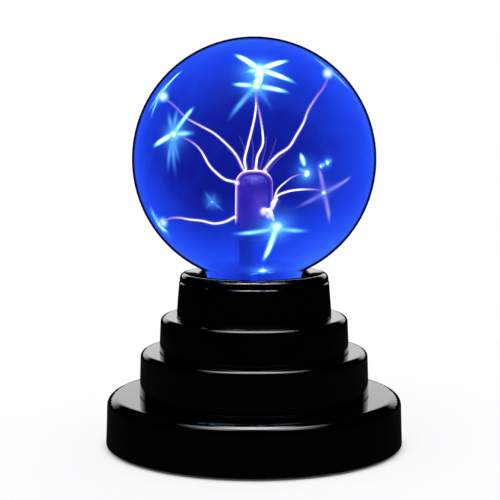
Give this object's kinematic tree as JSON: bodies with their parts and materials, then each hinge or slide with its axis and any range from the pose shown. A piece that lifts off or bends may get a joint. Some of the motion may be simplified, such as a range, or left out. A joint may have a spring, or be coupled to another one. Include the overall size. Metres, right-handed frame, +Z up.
{
  "type": "plasma ball",
  "caption": "Lit gas-filled glass globe with a central electrode on a stepped round gloss-black base that holds the driver, battery bay, power socket and slide switch.",
  "frame": {"origin": "on the table, under the globe's axis", "axes": "+Z up along the globe's axis, +Y towards the power socket and the switch, -Y towards the viewer, +X to the viewer's right"},
  "size_m": [0.0944, 0.0944, 0.1291],
  "materials": {
    "globe_glass": "thin blown glass, gas-filled, lit deep blue from inside while it runs",
    "tube_glass": "clear drawn glass, violet in the discharge",
    "steel_wool": "packed fine steel wire",
    "foam": "closed-cell foam ring",
    "gloss_black": "injection-moulded, mirror gloss",
    "satin_black": "injection-moulded, fine spark texture",
    "cell_jacket": "metallised film jacket in two plain bands, bare metal ends",
    "nickel": "nickel-plated",
    "foot_rubber": "soft moulded rubber",
    "zinc": "zinc-plated self-tapping screw",
    "board": "paper-phenolic circuit board",
    "ferrite": "sintered ferrite, ground faces",
    "bobbin": "moulded nylon",
    "copper_wire": "enamelled copper wire, close wound",
    "coil_tape": "polyester tape over fine wire",
    "chip_black": "moulded epoxy",
    "aluminium": "bent sheet, mill finish",
    "capacitor_sleeve": "shrunk vinyl sleeve",
    "film_epoxy": "dipped epoxy",
    "resistor_body": "lacquered body with colour bands",
    "hv_silicone": "silicone-insulated high-voltage wire",
    "sleeve": "woven insulating sleeve",
    "red_wire": "vinyl-insulated wire",
    "black_wire": "vinyl-insulated wire",
    "socket_black": "moulded socket body",
    "switch_shell": "folded tinned-steel shell"
  },
  "bodies": {
    "base": {"globe": "globe_glass", "electrode_tube": "tube_glass", "electrode_core": "steel_wool", "exhaust_tip": "tube_glass", "neck_seal": "foam", "collar_rim": "gloss_black", "collar": "gloss_black", "middle_tier": "gloss_black", "lower_tier": "gloss_black", "base_housing": "gloss_black", "bottom_cover": "satin_black", "battery_cells": "cell_jacket", "battery_springs": "nickel", "battery_contacts": "nickel", "rubber_feet": "foot_rubber", "cover_screws": "zinc", "tier_screws": "zinc", "driver_board": "board", "board_screws": "zinc", "ferrite_core": "ferrite", "coil_bobbin": "bobbin", "primary_winding": "copper_wire", "secondary_winding": "coil_tape", "power_transistor": "chip_black", "heat_sink": "aluminium", "supply_capacitor": "capacitor_sleeve", "film_capacitors": "film_epoxy", "resistors": "resistor_body", "diodes": "chip_black", "hv_lead": "hv_silicone", "hv_sleeve": "sleeve", "red_leads": "red_wire", "black_leads": "black_wire", "jack_body": "socket_black", "jack_pin": "nickel", "switch_body": "switch_shell"},
    "battery_door": {"battery_door": "satin_black"},
    "switch_knob": {"switch_knob": "satin_black"}
  },
  "joints": [
    {"name": "door_hinge", "type": "hinge", "parent": "base", "child": "battery_door", "pos_m": [0, -0.03285, 0.00175], "axis": [-1, 0, 0], "range_deg": [0, 80]},
    {"name": "switch_slide", "type": "slide", "parent": "base", "child": "switch_knob", "axis": [1, 0, 0], "range_m": [0, 0.003]}
  ]
}
